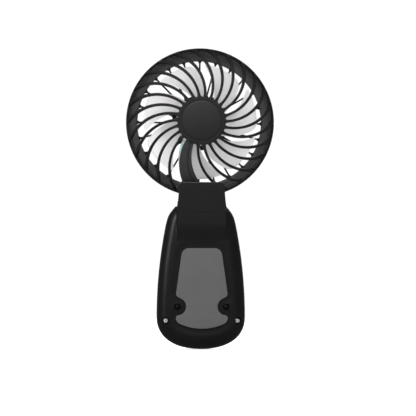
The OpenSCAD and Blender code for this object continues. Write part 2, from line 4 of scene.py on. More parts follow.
import bmesh
import bpy
import numpy as np
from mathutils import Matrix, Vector


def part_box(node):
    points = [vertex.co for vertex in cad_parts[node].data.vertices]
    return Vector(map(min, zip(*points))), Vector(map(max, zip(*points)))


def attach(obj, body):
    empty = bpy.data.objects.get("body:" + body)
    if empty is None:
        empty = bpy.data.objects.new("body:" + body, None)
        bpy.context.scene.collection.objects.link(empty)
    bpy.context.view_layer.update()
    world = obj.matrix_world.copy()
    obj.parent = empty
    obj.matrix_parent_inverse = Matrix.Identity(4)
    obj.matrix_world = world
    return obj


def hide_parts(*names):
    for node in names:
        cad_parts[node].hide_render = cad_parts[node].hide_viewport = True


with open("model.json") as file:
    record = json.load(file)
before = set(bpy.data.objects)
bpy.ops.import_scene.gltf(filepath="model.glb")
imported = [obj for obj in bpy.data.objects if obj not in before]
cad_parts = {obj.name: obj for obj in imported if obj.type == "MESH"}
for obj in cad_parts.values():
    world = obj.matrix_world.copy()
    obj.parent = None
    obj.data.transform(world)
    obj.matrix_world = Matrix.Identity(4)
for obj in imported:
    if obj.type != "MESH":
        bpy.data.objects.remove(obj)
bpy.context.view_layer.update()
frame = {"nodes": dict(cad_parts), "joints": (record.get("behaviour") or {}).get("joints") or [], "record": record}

MM = 0.001
TAU = 2 * math.pi

# ---- driving sizes in millimetres, from the frame ----

joints = {j["name"]: j for j in frame["joints"]}
FAN_Z = joints["impeller_spin"]["pos_m"][2] / MM
TILT_Y = joints["head_tilt"]["pos_m"][1] / MM
TILT_Z = joints["head_tilt"]["pos_m"][2] / MM


def limits(node):
    """Lowest and highest corner of a CAD node, in millimetres."""
    low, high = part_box(node)
    return low / MM, high / MM


pad_low, pad_high = limits("rear_pad")
front_low, front_high = limits("front_shell")
bowl_low, bowl_high = limits("front_guard")
badge_low, badge_high = limits("front_badge")
cover_low, cover_high = limits("motor_cover")
blade_low, blade_high = limits("impeller")
button_low, button_high = limits("power_button")
usb_low, usb_high = limits("usb_port")
shell_high = limits("rear_shell")[1]
guard_high = limits("rear_guard")[1]
ring_high = limits("button_ring")[1]

REST_Y = pad_high.y
HANDLE_W = shell_high.x
FRONT_Y = front_low.y
SPLIT_Y = front_high.y
FRONT_TOP = front_high.z
TONGUE_TOP = shell_high.z
HEAD_R = guard_high.x
LIP_Y = bowl_low.y + 0.5
GUARD_SPLIT = bowl_high.y
TIP_R = blade_high.x
BUTTON_Z = (button_low.z + button_high.z) / 2
LED_Z = sum(corner.z for corner in limits("indicator_leds")) / 2

# Handle, as in the CAD. Widths are half widths, and places are X and Z.
BELLY_Z = 22.0  # the handle is widest here, above a rounded bottom
BOTTOM_POWER = 2.3  # of the superellipse that rounds the bottom
SIDE_CURVE = 0.00163
SHOULDER = (-2.3, 76.9, 27.0)  # X and Z of its centre, and its radius
NECK_Z = 95.4
NECK_TOP_W = 15.3
NECK_CORNER = 2.5
NECK_FLARE = 0.0044
BACK_Y = REST_Y - 1  # the back, away from the pad and the tongue
BASIN = 0.22  # how much lower the back is beside the pad
EDGE_R = 9.0  # width of the rounding between side and back
EDGE_START = SPLIT_Y + 2
FRONT_EDGE_R = 6.0  # the same at the front
FRONT_EDGE_START = SPLIT_Y - 2
SPLIT_EDGE = 0.3  # softening of both shells where they meet
WALL = 1.6
TONGUE_W = 16.5
TONGUE_Y = 12.9  # front of the tongue, level with the inside of the back
TONGUE_FOOT = 68.4  # the tongue rises out of the back from here to TONGUE_FULL
TONGUE_FULL = 84.0
EAR_R = 5.0
EAR_GAP = 8.6
EAR_DRAFT = 0.075
SHOULDER_EDGE = 6.0
CASE_SCREW = (24.0, 19.0)
CASE_SEAT = 11.2
BOSS_SCREW = (16.3, 28.3)
BOSS_SEAT = 12.6
STEM_W = 8.0  # of the head's stem, between the ears

# Head. Depths are Y, which grows toward the back.
RIM_Y = -6.0  # the head is widest here
BAND_Y = -1.5  # back edge of the plain band round the ribs
DOME_H = 20.7
DOME_POWER = 3.0
LIP_R = 45.0
GUARD_T = 1.6
REAR_RIBS = 26
CABLE_RIB = 16  # the wide rib takes the place of this one and the next
RIB_W = 1.8  # full width
RIB_DEPTH = 2.2
RIB_ARC_R = 29.4  # radius of the arc that a rib follows
RIB_ARC_C = 32.75  # distance of that arc's centre from the fan axis
RIB_PHASE = 76.1
FLANGE_R = 16.3
FRONT_RIBS = 24
FRONT_RIB_PHASE = 14.5
OPENING_R = 41.9
DISC_R = 18.5
BADGE_R = DISC_R - 0.7
BLADES = 7
HUB_R = 15.8
NEAR_AXIS = 0.02  # radius of the pinhole where a lathed disc meets its axis


# ---- mesh helpers ----

def new_object(name, data):
    """An object with this data, linked to the scene."""
    obj = bpy.data.objects.new(name, data)
    bpy.context.scene.collection.objects.link(obj)
    return obj


def mesh_object(name, verts, faces):
    """A mesh object from points in millimetres."""
    mesh = bpy.data.meshes.new(name)
    mesh.from_pydata([tuple(float(c) * MM for c in v) for v in verts], [], faces)
    bm = bmesh.new()
    bm.from_mesh(mesh)
    bmesh.ops.remove_doubles(bm, verts=bm.verts, dist=1e-7)
    bmesh.ops.recalc_face_normals(bm, faces=bm.faces)
    bm.to_mesh(mesh)
    bm.free()
    return new_object(name, mesh)


def shade(obj, sharp):
    """Smooth shading, with edges sharper than an angle in degrees kept sharp."""
    mesh = obj.data
    mesh.polygons.foreach_set("use_smooth", [True] * len(mesh.polygons))
    mesh.set_sharp_from_angle(angle=math.radians(sharp))


def finish_piece(obj, body, slot, node, sharp=40, material=None):
    """Lets a piece ride on a body and stand for a CAD node, and gives it its look."""
    shade(obj, sharp)
    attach(obj, body)
    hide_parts(node)
    obj.data.materials.clear()
    obj.data.materials.append(material or materials[slot])
    return obj


class Builder:
    """Collects several closed surfaces into one mesh."""

    def __init__(self):
        self.verts = []
        self.faces = []

    def add_loft(self, rings):
        """A surface through rings of equally many points, with a cap at each end."""
        start, n = len(self.verts), len(rings[0])
        for k in range(len(rings) - 1):
            a = start + k * n
            for i in range(n):
                j = (i + 1) % n
                self.faces.append((a + i, a + n + i, a + n + j, a + j))
        last = start + (len(rings) - 1) * n
        self.faces.append(tuple(start + i for i in range(n)))
        self.faces.append(tuple(last + i for i in reversed(range(n))))
        for ring in rings:
            self.verts += list(ring)

    def add_lathe(self, profile, steps=144):
        """A closed profile of (radius, depth) turned round the fan axis."""
        start, n = len(self.verts), len(profile)
        for k in range(steps):
            a, b = start + k * n, start + (k + 1) % steps * n
            turn = TAU * k / steps
            for i, (r, y) in enumerate(profile):
                j = (i + 1) % n
                self.faces.append((a + i, b + i, b + j, a + j))
                self.verts.append((r * math.cos(turn), y, FAN_Z + r * math.sin(turn)))

    def add_object(self, obj):
        """Takes over an object's mesh, and removes the object."""
        start = len(self.verts)
        self.verts += [tuple(v.co / MM) for v in obj.data.vertices]
        self.faces += [tuple(start + i for i in p.vertices) for p in obj.data.polygons]
        bpy.data.objects.remove(obj)

    def solid(self, name):
        return mesh_object(name, self.verts, self.faces)

    def piece(self, name, *rest, **options):
        return finish_piece(self.solid(name), *rest, **options)


def lofted(rings):
    builder = Builder()
    builder.add_loft(rings)
    return builder


def lathed(profile):
    builder = Builder()
    builder.add_lathe(profile)
    return builder


def tool(rings):
    """A closed solid to cut with."""
    return lofted(rings).solid("tool")


def cut(obj, tools):
    """Takes each tool out of obj by an exact boolean, and removes the tool."""
    for cutter in tools:
        mod = obj.modifiers.new("cut", "BOOLEAN")
        mod.operation = "DIFFERENCE"
        mod.solver = "EXACT"
        mod.object = cutter
        graph = bpy.context.evaluated_depsgraph_get()
        uncut = obj.data
        obj.data = bpy.data.meshes.new_from_object(obj.evaluated_get(graph))
        obj.modifiers.clear()
        bpy.data.meshes.remove(uncut)
        bpy.data.objects.remove(cutter)


# ---- curves and outlines ----

def seen_from_behind(r, degrees, y):
    """A point at a radius and an angle measured as seen from behind the head."""
    a = math.radians(degrees)
    return Vector((-r * math.cos(a), y, FAN_Z + r * math.sin(a)))


def outward(degrees):
    """Unit vector away from the fan axis, at an angle measured as seen from behind."""
    return seen_from_behind(1, degrees, 0) - Vector((0, 0, FAN_Z))


def rounded(points, radii, steps=5):
    """A closed polygon with its corners rounded, by one radius or by a list of one for each."""
    out = []
    n = len(points)
    if isinstance(radii, float):
        radii = [radii] * n
    for i, r in enumerate(radii):
        p = Vector(points[i])
        if r <= 0:
            out.append(tuple(p))
            continue
        a = Vector(points[i - 1]) - p
        b = Vector(points[(i + 1) % n]) - p
        half = a.angle(b) / 2
        reach = min(r / math.tan(half), a.length * 0.49, b.length * 0.49)
        r = reach * math.tan(half)
        centre = p + (a.normalized() + b.normalized()).normalized() * (r / math.sin(half))
        start = p + a.normalized() * reach - centre
        end = p + b.normalized() * reach - centre
        turn = start.angle_signed(end) if start.length > 1e-9 else 0
        for k in range(steps + 1):
            t = -turn * k / steps
            c, s = math.cos(t), math.sin(t)
            out.append((centre.x + start.x * c - start.y * s, centre.y + start.x * s + start.y * c))
    return out


def around(centre, r, angles):
    """Points at these angles round a centre."""
    return [(centre[0] + r * math.cos(a), centre[1] + r * math.sin(a)) for a in angles]


def arc(centre, r, first, last, steps):
    """Points along an arc from one angle to another, in degrees."""
    return around(centre, r, [math.radians(first + (last - first) * i / steps) for i in range(steps + 1)])


def quarter(steps):
    """Angles from nought to a right angle."""
    return [math.pi / 2 * i / steps for i in range(steps + 1)]


def circle(centre, r, steps):
    return around(centre, r, [TAU * i / steps for i in range(steps)])


def slab(outline, *depths):
    """Rings of an outline of X and Z, repeated at each depth."""
    return [[(x, y, z) for x, z in outline] for y in depths]


def turned(centre, profile, steps):
    """Rings of a profile of (radius, depth) turned round an axis along Y."""
    return [[(x, y, z) for x, z in circle(centre, r, steps)] for r, y in profile]


def drum(centre, axis, r, start, end, bevel=0.0, steps=48):
    """Rings of a cylinder along the x or y axis, with bevelled ends."""
    angles = quarter(4) if bevel else [0]
    profile = [(r - bevel, start)]
    profile += [(r - bevel + bevel * math.sin(t), start + bevel - bevel * math.cos(t)) for t in angles]
    profile += [(r - bevel + bevel * math.cos(t), end - bevel + bevel * math.sin(t)) for t in angles]
    profile += [(r - bevel, end)]
    if axis == "y":
        return turned(centre, profile, steps)
    return [[(along, y, z) for y, z in circle(centre, radius, steps)] for radius, along in profile]


def smooth_step(t):
    t = np.clip(t, 0, 1)
    return t * t * (3 - 2 * t)


def fillet_rise(distance, r, height):
    """Height of a rounded edge of width r at a distance inside the outline."""
    t = np.clip(distance / r, 0, 1)
    return height * np.sqrt(1 - (1 - t) ** 2)


def fall(over, r):
    """Drop of a rounded edge of radius r at a distance past the start of the rounding."""
    return r - np.sqrt(np.clip(r ** 2 - over ** 2, 0, None))


# ---- materials ----

ROUGH_SPREAD = 0.06
COAT_ROUGH = 0.1
BUMP_DEPTH = 0.0002  # metres
SCATTER_DEPTH = 0.002
BLADE_TINT = (1, 0.985, 0.99)
LENS_TINT = (1, 1.02, 1.05)


def set_inputs(node, **values):
    """Sets inputs of a shader node; an underscore in a name stands for a space."""
    for name, value in values.items():
        node.inputs[name.replace("_", " ")].default_value = value
    return node


def add_node(nodes, kind, **values):
    return set_inputs(nodes.new("ShaderNode" + kind), **values)


def surface(name, dark, light, rough, grain=900.0, bump=0.06, metallic=0.0, coat=0.0, stretch=(1, 1, 1),
            specular=0.5, blotch=60.0, scatter=0.0):
    """A moulded or metal surface: broad colour variation, fine grain in the bump and the roughness."""
    mat = bpy.data.materials.new(name)
    mat.use_nodes = True
    nodes, links = mat.node_tree.nodes, mat.node_tree.links
    bsdf = nodes["Principled BSDF"]
    coords = add_node(nodes, "TexCoord")
    mapping = add_node(nodes, "Mapping", Scale=stretch)
    broad = add_node(nodes, "TexNoise", Scale=blotch, Detail=3)
    tint = add_node(nodes, "ValToRGB")
    for stop, position, colour in zip(tint.color_ramp.elements, (0.3, 0.7), (dark, light)):
        stop.position = position
        stop.color = (*colour, 1)
    fine = add_node(nodes, "TexNoise", Scale=grain, Detail=4)
    spread = add_node(nodes, "MapRange", To_Min=rough - ROUGH_SPREAD, To_Max=rough + ROUGH_SPREAD)
    bumps = add_node(nodes, "Bump", Strength=bump, Distance=BUMP_DEPTH)
    links.new(coords.outputs["Object"], mapping.inputs["Vector"])
    links.new(mapping.outputs["Vector"], broad.inputs["Vector"])
    links.new(broad.outputs["Fac"], tint.inputs["Fac"])
    links.new(tint.outputs["Color"], bsdf.inputs["Base Color"])
    links.new(mapping.outputs["Vector"], fine.inputs["Vector"])
    links.new(fine.outputs["Fac"], spread.inputs["Value"])
    links.new(spread.outputs["Result"], bsdf.inputs["Roughness"])
    links.new(fine.outputs["Fac"], bumps.inputs["Height"])
    links.new(bumps.outputs["Normal"], bsdf.inputs["Normal"])
    set_inputs(bsdf, Metallic=metallic, Specular_IOR_Level=specular, Subsurface_Weight=scatter,
               Subsurface_Radius=(1, 1, 1), Subsurface_Scale=SCATTER_DEPTH, Coat_Weight=coat,
               Coat_Roughness=COAT_ROUGH)
    return mat


def grey(v, tint=(1, 1, 1)):
    return tuple(v * t for t in tint)


materials = {
    "housing": surface("satin_black_housing", grey(0.0028), grey(0.0036), 0.33, grain=1600, bump=0.10),
    "guard": surface("satin_black_guard", grey(0.0095), grey(0.0115), 0.52, grain=1600, bump=0.10,
                     specular=0.13),
    "badge": surface("gloss_black_badge", grey(0.006), grey(0.008), 0.20, grain=700, bump=0.002,
                     coat=0.4),
    "pad": surface("grey_soft_pad", grey(0.068), grey(0.073), 0.72, grain=3200, bump=0.22, specular=0.3),
    "blade": surface("white_blade", grey(0.75, BLADE_TINT), grey(0.80, BLADE_TINT), 0.30, grain=500,
                     bump=0.02, scatter=0.5),
    "screw_silver": surface("plated_screw", grey(0.80), grey(0.92), 0.34, bump=0.05, metallic=0.5),
    "screw_black": surface("black_screw", grey(0.012), grey(0.02), 0.42, metallic=0.6),
    "control": surface("dark_button", grey(0.02), grey(0.026), 0.32, grain=1400, bump=0.08),
    "lens": surface("milky_lens", grey(0.62, LENS_TINT), grey(0.7, LENS_TINT), 0.22, grain=600, bump=0.02),
    "steel": surface("turned_steel", grey(0.5), grey(0.6), 0.26, grain=700, metallic=1.0, stretch=(1, 6, 1)),
    "magnet": surface("ferrite", grey(0.05), grey(0.075), 0.6, grain=1200, bump=0.2),
    "bronze": surface("sintered_bronze", (0.42, 0.24, 0.09), (0.5, 0.3, 0.12), 0.4, grain=2200, bump=0.2,
                      metallic=1.0),
    "copper": surface("enamelled_copper", (0.5, 0.2, 0.09), (0.6, 0.27, 0.13), 0.3, grain=1500, bump=0.2,
                      metallic=1.0),
    "carbon": surface("carbon", grey(0.025), grey(0.035), 0.6, grain=1800, bump=0.2),
    "cap_plastic": surface("cream_plastic", (0.72, 0.69, 0.62), (0.78, 0.75, 0.69), 0.45),
    "board": surface("solder_mask", (0.015, 0.12, 0.04), (0.02, 0.16, 0.06), 0.35, grain=800, coat=0.3),
    "cell": surface("cell_film", (0.22, 0.29, 0.42), (0.27, 0.34, 0.48), 0.35, grain=400, coat=0.3),
    "lead_cyan": surface("blue_lead", (0.56, 0.92, 0.96), (0.62, 0.95, 0.98), 0.35),
    "lead_red": surface("red_lead", (0.42, 0.03, 0.03), (0.5, 0.04, 0.04), 0.35),
}

# Second looks inside the slot "guard". The bowl's inside wall and the wide cable rib get lighter copies of the
# guard's black: painted light, for the light that falls on them.
bowl_inside_painted_light = surface("matte_bowl_inside_painted_light", grey(0.052), grey(0.058), 0.6, grain=1600, bump=0.10)
cover_face = surface("satin_black_cover", grey(0.0048), grey(0.0060), 0.42, grain=1600, bump=0.10,
                     specular=0.35)
# Painted light: the wide cable rib is a lighter black for the light that it catches.
cable_rib_painted_light = surface("matte_black_cable_rib_painted_light", grey(0.019), grey(0.023), 0.55, grain=1600, bump=0.10,
                     specular=0.2)

for row in frame["record"]["subparts"]:
    shown = frame["nodes"][row["node"]]
    shown.data.materials.clear()
    shown.data.materials.append(materials[row["material_slot"]])
    shade(shown, 30)


# ---- handle surfaces ----

def side_width(z):
    """Half width of the handle below the shoulder."""
    below = np.clip((BELLY_Z - z) / BELLY_Z, 0, 1)
    low = HANDLE_W * np.power(np.clip(1 - np.power(below, BOTTOM_POWER), 0, 1), 1 / BOTTOM_POWER)
    high = HANDLE_W - SIDE_CURVE * (z - BELLY_Z) ** 2
    return np.where(z < BELLY_Z, low, high)


def neck_width(z):
    """Half width of the neck, whose top corners are rounded."""
    over = np.clip(z - (TONGUE_TOP - NECK_CORNER), 0, NECK_CORNER)
    return NECK_TOP_W + NECK_FLARE * (TONGUE_TOP - z) ** 2 - fall(over, NECK_CORNER)


def shoulder_width(z):
    cx, cz, r = SHOULDER
    return np.where(z < cz, HANDLE_W, cx + np.sqrt(np.clip(r ** 2 - (z - cz) ** 2, 0, None)))


def soft_min(a, b, z):
    """The lower of two values, with their crossing near the top of the shoulder rounded off."""
    least, most, start, rise = 0.02, 0.80, 80, 5
    k = least + (most - least) * smooth_step((z - start) / rise)
    return np.minimum(a, b) - np.clip(k - np.abs(a - b), 0, None) ** 2 / (4 * k)


def outline_width(z):
    """Half width of the handle's outline."""
    body = soft_min(side_width(z), shoulder_width(z), z)
    above_shoulder = z > SHOULDER[1]
    least = neck_width(np.full_like(z, NECK_Z)) * above_shoulder
    return np.where(z > NECK_Z, neck_width(z), np.maximum(body, least))


def at(width, z):
    """The value of a width function at one height."""
    return float(width(np.array([z]))[0])


def edge_distance(x, z):
    """How far a point lies inside the handle's outline."""
    x = np.abs(x)
    # Below the belly, halving finds the inset of the superellipse through the point.
    low, high = np.zeros_like(x), np.full_like(x, BELLY_Z - 0.01)
    for _ in range(26):
        mid = (low + high) / 2
        value = (x / (HANDLE_W - mid)) ** BOTTOM_POWER
        value += (np.clip(BELLY_Z - z, 0, None) / (BELLY_Z - mid)) ** BOTTOM_POWER
        low, high = np.where(value < 1, mid, low), np.where(value < 1, high, mid)
    bottom = (low + high) / 2
    cx, cz, r = SHOULDER
    side = side_width(z) - x
    shoulder = np.where(z < cz, side, r - np.hypot(x - cx, z - cz))
    upper = np.where(z > NECK_Z, neck_width(z) - x, soft_min(side, shoulder, z))
    return np.maximum(np.where(z < BELLY_Z, bottom, upper), 0)


def pad_points(grow=0.0):
    """The pad's outline on the back of the handle, as X and Z."""
    lean, side_x, side_z = 8, 13.7, 62.5
    corner, notch = 5.0, 5.76
    upper_fillet, lower_fillet = 3.0, 1.8
    low_corner, low_arc = 4.4, 36.0

    def beside(z, r):
        """X of the centre of an arc of radius r that touches the leaning side."""
        return side_x + (side_z - z) * math.tan(math.radians(lean)) - r / math.cos(math.radians(lean))

    def direction(place, centre):
        return math.degrees(math.atan2(place[1] - centre[1], place[0] - centre[0]))

    top_z = pad_high.z - corner
    top = (beside(top_z, corner), top_z)
    upper_z = BOSS_SCREW[1] + notch + upper_fillet
    upper = (beside(upper_z, upper_fillet), upper_z)
    reach = notch + lower_fillet
    lower_x = pad_high.x - lower_fillet
    lower = (lower_x, BOSS_SCREW[1] - math.sqrt(reach ** 2 - (lower_x - BOSS_SCREW[0]) ** 2))
    bottom = (0.0, pad_low.z + low_arc)
    corner_x = pad_high.x - low_corner
    low = (corner_x, bottom[1] - math.sqrt((low_arc - low_corner) ** 2 - corner_x ** 2))
    low_angle = direction(low, bottom)
    upper_angle = direction(upper, BOSS_SCREW)
    lower_angle = 360 + direction(lower, BOSS_SCREW)
    half = arc(top, corner + grow, 90, lean, 12)
    half += arc(upper, upper_fillet + grow, lean, upper_angle - 180, 8)
    half += arc(BOSS_SCREW, notch - grow, upper_angle, lower_angle, 18)[1:-1]
    half += arc(lower, lower_fillet + grow, lower_angle - 180, 0, 6)
    half += arc(low, low_corner + grow, 0, low_angle, 8)
    half += arc(bottom, low_arc + grow, low_angle, -90, 10)[1:-1]
    return half + [(-x, z) for x, z in reversed(half)]


def outline_distance(x, z, outline):
    """Distance from points to a closed outline, zero inside it."""
    p = np.stack([x, z], -1).reshape(-1, 2)
    best = np.full(len(p), np.inf)
    inside = np.zeros(len(p), bool)
    corners = np.array(outline)
    for a, b in zip(corners, np.roll(corners, -1, 0)):
        ab = b - a
        t = np.clip(((p - a) @ ab) / max(ab @ ab, 1e-12), 0, 1)
        best = np.minimum(best, np.hypot(*(p - a - t[:, None] * ab).T))
        crosses = (a[1] > p[:, 1]) != (b[1] > p[:, 1])
        if ab[1] != 0:
            inside ^= crosses & (p[:, 0] < a[0] + (p[:, 1] - a[1]) * ab[0] / ab[1])
    return np.where(inside, 0, best).reshape(x.shape)


pad_outline = pad_points()


def crease_width(z):
    """Half width of the tongue, at the crease that parts it from the back."""
    start, rise = 88, 7
    share = 0.8 + 0.15 * smooth_step((z - start) / rise)
    return np.minimum(TONGUE_W, outline_width(z) * share)


def back_surface(x, z):
    """Depth of the rear shell's outside."""
    ledge, slope = 1.2, 4.5
    y = EDGE_START + fillet_rise(edge_distance(x, z), EDGE_R, BACK_Y - EDGE_START)
    y -= BASIN * (1 - smooth_step((outline_distance(x, z, pad_outline) - ledge) / slope))
    ramp = smooth_step((z - TONGUE_FOOT) / (TONGUE_FULL - TONGUE_FOOT))
    top = BACK_Y - BASIN + (REST_Y - BACK_Y + BASIN) * ramp
    top_edge, side_edge = 0.4, 0.7
    top -= fall(top_edge - np.clip(TONGUE_TOP - z, 0, top_edge), top_edge)
    wall = np.where(z > NECK_Z, 0.75, 0.5)
    on_tongue = 1 - smooth_step((np.abs(x) - crease_width(z) + wall * 0.5) / wall)
    on_body = y + (np.maximum(top, y) - y) * on_tongue * (z > TONGUE_FOOT)
    on_neck = top - fall(side_edge - np.clip(neck_width(z) - np.abs(x), 0, side_edge), side_edge)
    return np.where(z > NECK_Z, on_neck, on_body)


# ---- shells ----

EDGE_STEPS = np.linspace(0, 1, 20)
MIDDLE_STEPS = np.linspace(0, 1, 30)
CAVITY_STEPS = np.linspace(-1, 1, 41)
SIDE_STEPS = (0.03, 0.07, 0.12, 0.18, 0.26, 0.35, 0.5, 0.75)
BOTTOM_ROWS = [BELLY_Z * (1 - math.cos(a)) for a in quarter(44)[1:]]


def row_columns(z, half):
    """X places across a row: crowded at the outline and at the tongue's crease."""
    crease = min(at(crease_width, z), half)
    edge = half - (half - crease) * (1 - np.cos(EDGE_STEPS * math.pi / 2))
    middle = crease * (1 - MIDDLE_STEPS[1:])
    if half > 3:
        middle[:3] = crease - np.array([0.12, 0.25, 0.4])
    right = np.concatenate([edge, middle])
    return np.concatenate([right, -right[::-1][1:]])


def soft_edge(half, front, toward):
    """Points of the softened edge of a shell's open side; toward is 1 or -1, the way to the closed side."""
    soft = min(SPLIT_EDGE, half * 0.2)
    return [(half - soft, front), (half - soft * 0.3, front + toward * soft * 0.3),
            (half, front + toward * soft)]


def cavity(z, half, start, r, rise, solid=False):
    """Points across a shell's cavity at height z; a solid section has none and ends at the split."""
    inner = max(half - WALL, half * 0.4)
    x = inner * np.sin(CAVITY_STEPS * math.pi / 2)
    distance = edge_distance(x, np.full_like(x, z)) - WALL
    y = start + fillet_rise(np.clip(distance, 0, None), r - WALL, rise)
    y = np.where((distance > 0.05) & (not solid), y, SPLIT_Y)
    y[0] = y[-1] = SPLIT_Y
    return list(zip(x, y))


def ear_side(x, behind, depth, z):
    """X of an ear's side at a distance behind its front, with draft and a rounded shoulder."""
    wider = max(0.0, x - at(neck_width, max(z, NECK_Z)))
    shoulder = wider * fall(1 - min(1.0, behind / SHOULDER_EDGE), 1)
    return x - shoulder - EAR_DRAFT * (depth - behind)


def ear_gap(half, front, width):
    """Points round the gap that a section of the neck has between its ears."""
    gap = min(width, half - 0.7)
    n = len(CAVITY_STEPS)
    side, last = n // 4, n - 1
    points = []
    for i in range(n):
        if i < side:
            points.append((-gap, front + (TONGUE_Y - front) * i / side))
        elif i >= n - side:
            points.append((gap, front + (TONGUE_Y - front) * (last - i) / side))
        else:
            points.append((gap * (2 * (i - side) / (last - 2 * side) - 1), TONGUE_Y))
    return points


def rear_section(z, front=SPLIT_Y, gap=None):
    """One closed section of the rear shell at height z: hollow, or with a gap between two ears.

    Where the gap takes the whole width and starts at the tongue, a plain plate is left.
    """
    half = at(outline_width, z)
    x = row_columns(z, half)
    y = back_surface(x, np.full_like(x, z))
    side = soft_edge(half, front, 1)
    start = side[-1][1]
    side += [(half, start + (y[0] - start) * t) for t in SIDE_STEPS]
    if gap is None:
        inside = cavity(z, half, EDGE_START, EDGE_R, TONGUE_Y - EDGE_START)
    else:
        side = [(ear_side(a, b - front, y[0] - front, z), b) for a, b in side]
        inside = ear_gap(half, front, gap)
    outside = side + list(zip(x, y)) + [(-a, b) for a, b in reversed(side)]
    return [(a, b, z) for a, b in outside + inside]


def ear_front(z):
    """Depth of the front of the ears at height z, round the tilt axis."""
    if z <= TILT_Z:
        return FRONT_Y
    return TILT_Y - math.sqrt(max(0.0, EAR_R ** 2 - (z - TILT_Z) ** 2))


def rear_sections():
    """Sections of the hollow handle, then of the neck with its ears, then of the tongue above them."""
    ear_bottom, ear_top = FRONT_TOP + 0.2, TILT_Z + EAR_R
    above, coarse, fine, last_fine = 0.01, 0.9, 0.7, 90.6
    rows = BOTTOM_ROWS + list(np.arange(BELLY_Z + coarse, TONGUE_FOOT - 0.5, coarse))
    rows += list(np.arange(TONGUE_FOOT - 0.1, last_fine, fine))
    sections = [rear_section(z) for z in rows + [ear_bottom]]
    rows = [ear_bottom + above, 92.8, 93.8, 94.8, NECK_Z, NECK_Z + 0.05, 96.2, TILT_Z]
    rows += [TILT_Z + EAR_R * math.sin(a) for a in quarter(10)[1:]]
    sections += [rear_section(z, ear_front(z), EAR_GAP) for z in rows]
    rows = [ear_top + above, 104.5, 106.5, 108.2]
    rows += [TONGUE_TOP - NECK_CORNER + NECK_CORNER * math.sin(a) for a in quarter(12)]
    return sections + [rear_section(z, TONGUE_Y, HANDLE_W) for z in rows]


def groove_tool():
    """A shallow rounded slot across the tongue."""
    z, half, r, depth = 91.5, 5.4, 0.45, 0.3
    outline = arc((half, z), r, 90, -90, 8) + arc((-half, z), r, 270, 90, 8)
    return tool(slab(outline, REST_Y - depth, REST_Y + 1))


def build_rear_shell():
    shell = lofted(rear_sections()).solid("rear_shell_body")
    beyond = REST_Y + 2
    pad_gap, pad_depth = 0.22, 1.95
    tools = [tool(slab(pad_points(pad_gap), REST_Y - pad_depth, beyond))]
    for s in (-1, 1):
        for (x, z), r, seat in ((CASE_SCREW, 2.2, CASE_SEAT), (BOSS_SCREW, 2.1, BOSS_SEAT)):
            tools.append(tool(slab(circle((s * x, z), r, 48), seat, beyond)))
    pin_r, past_sides = 1.5, 40
    tools.append(tool(drum((TILT_Y, TILT_Z), "x", pin_r, -past_sides, past_sides)))
    tools.append(groove_tool())
    cut(shell, tools)
    finish_piece(shell, "handle", "housing", "rear_shell", sharp=32)


build_rear_shell()


def front_section(z, top_r):
    """One closed section of the front shell at height z; its top edge is rounded by top_r."""
    half = at(outline_width, z)
    x = half * np.sin(np.linspace(1, -1, 81) * math.pi / 2)
    rise = FRONT_EDGE_START - FRONT_Y
    y = FRONT_EDGE_START - fillet_rise(edge_distance(x, np.full_like(x, z)), FRONT_EDGE_R, rise)
    y += fall(max(0.0, z - (FRONT_TOP - top_r)), top_r)
    y = np.minimum(y, FRONT_EDGE_START)
    side = soft_edge(half, SPLIT_Y, -1)
    outside = side + list(zip(x, y)) + [(-a, b) for a, b in reversed(side)]
    inside = cavity(z, half, FRONT_EDGE_START, FRONT_EDGE_R, WALL - rise, solid=z >= FRONT_TOP - WALL)
    return [(a, b, z) for a, b in outside + inside]


def build_front_shell():
    top_r = 1.6
    rows = BOTTOM_ROWS + list(np.arange(BELLY_Z + 1, FRONT_TOP - top_r, 1.2))
    rows += [FRONT_TOP - top_r + top_r * math.sin(a) for a in quarter(8)]
    shell = lofted([front_section(z, top_r) for z in rows]).solid("front_shell_body")
    before, behind = FRONT_Y - 2, FRONT_Y + WALL + 2
    button = (0, BUTTON_Z)
    tools = [tool(drum(button, "y", ring_high.x + 0.1, before, FRONT_Y + 0.5)),
             tool(drum(button, "y", button_high.x - 0.5, before, behind))]
    led_r, led_pitch = 1.0, 4
    tools += [tool(drum((led_pitch * i, LED_Z), "y", led_r, before, behind, steps=32))
              for i in (-1.5, -0.5, 0.5, 1.5)]
    slack = 0.2
    left, right = usb_low.x - slack, usb_high.x + slack
    front, back = usb_low.y - slack, usb_high.y + slack
    slot = rounded([(left, front), (right, front), (right, back), (left, back)], 1.5)
    tools.append(tool([[(x, y, z) for x, y in slot] for z in (-1, 5)]))
    cut(shell, tools)
    finish_piece(shell, "handle", "housing", "front_shell", sharp=32)


build_front_shell()


def build_pad():
    """Flat pad with a softened edge."""
    soft = 0.35
    rings = slab(pad_points(), pad_low.y)
    for a in quarter(5):
        rings += slab(pad_points(-soft * (1 - math.cos(a))), REST_Y - soft + soft * math.sin(a))
    lofted(rings).piece("rear_pad_soft", "handle", "pad", "rear_pad")


build_pad()


# ---- screws ----

def recess_tool(place, seat, degrees):
    """One bar of a cross recess, narrower at its bottom."""
    length, width = 1.05, 0.22  # half sizes
    c, s = math.cos(math.radians(degrees)), math.sin(math.radians(degrees))
    corners = [(length, width), (-length, width), (-length, -width), (length, -width)]
    rings = []
    for height, scale in ((0.35, 0.45), (1.4, 1.0)):
        rings += slab([(place[0] + (u * c - v * s) * scale, place[1] + (u * s + v * c) * scale)
                       for u, v in corners], seat + height)
    return tool(rings)


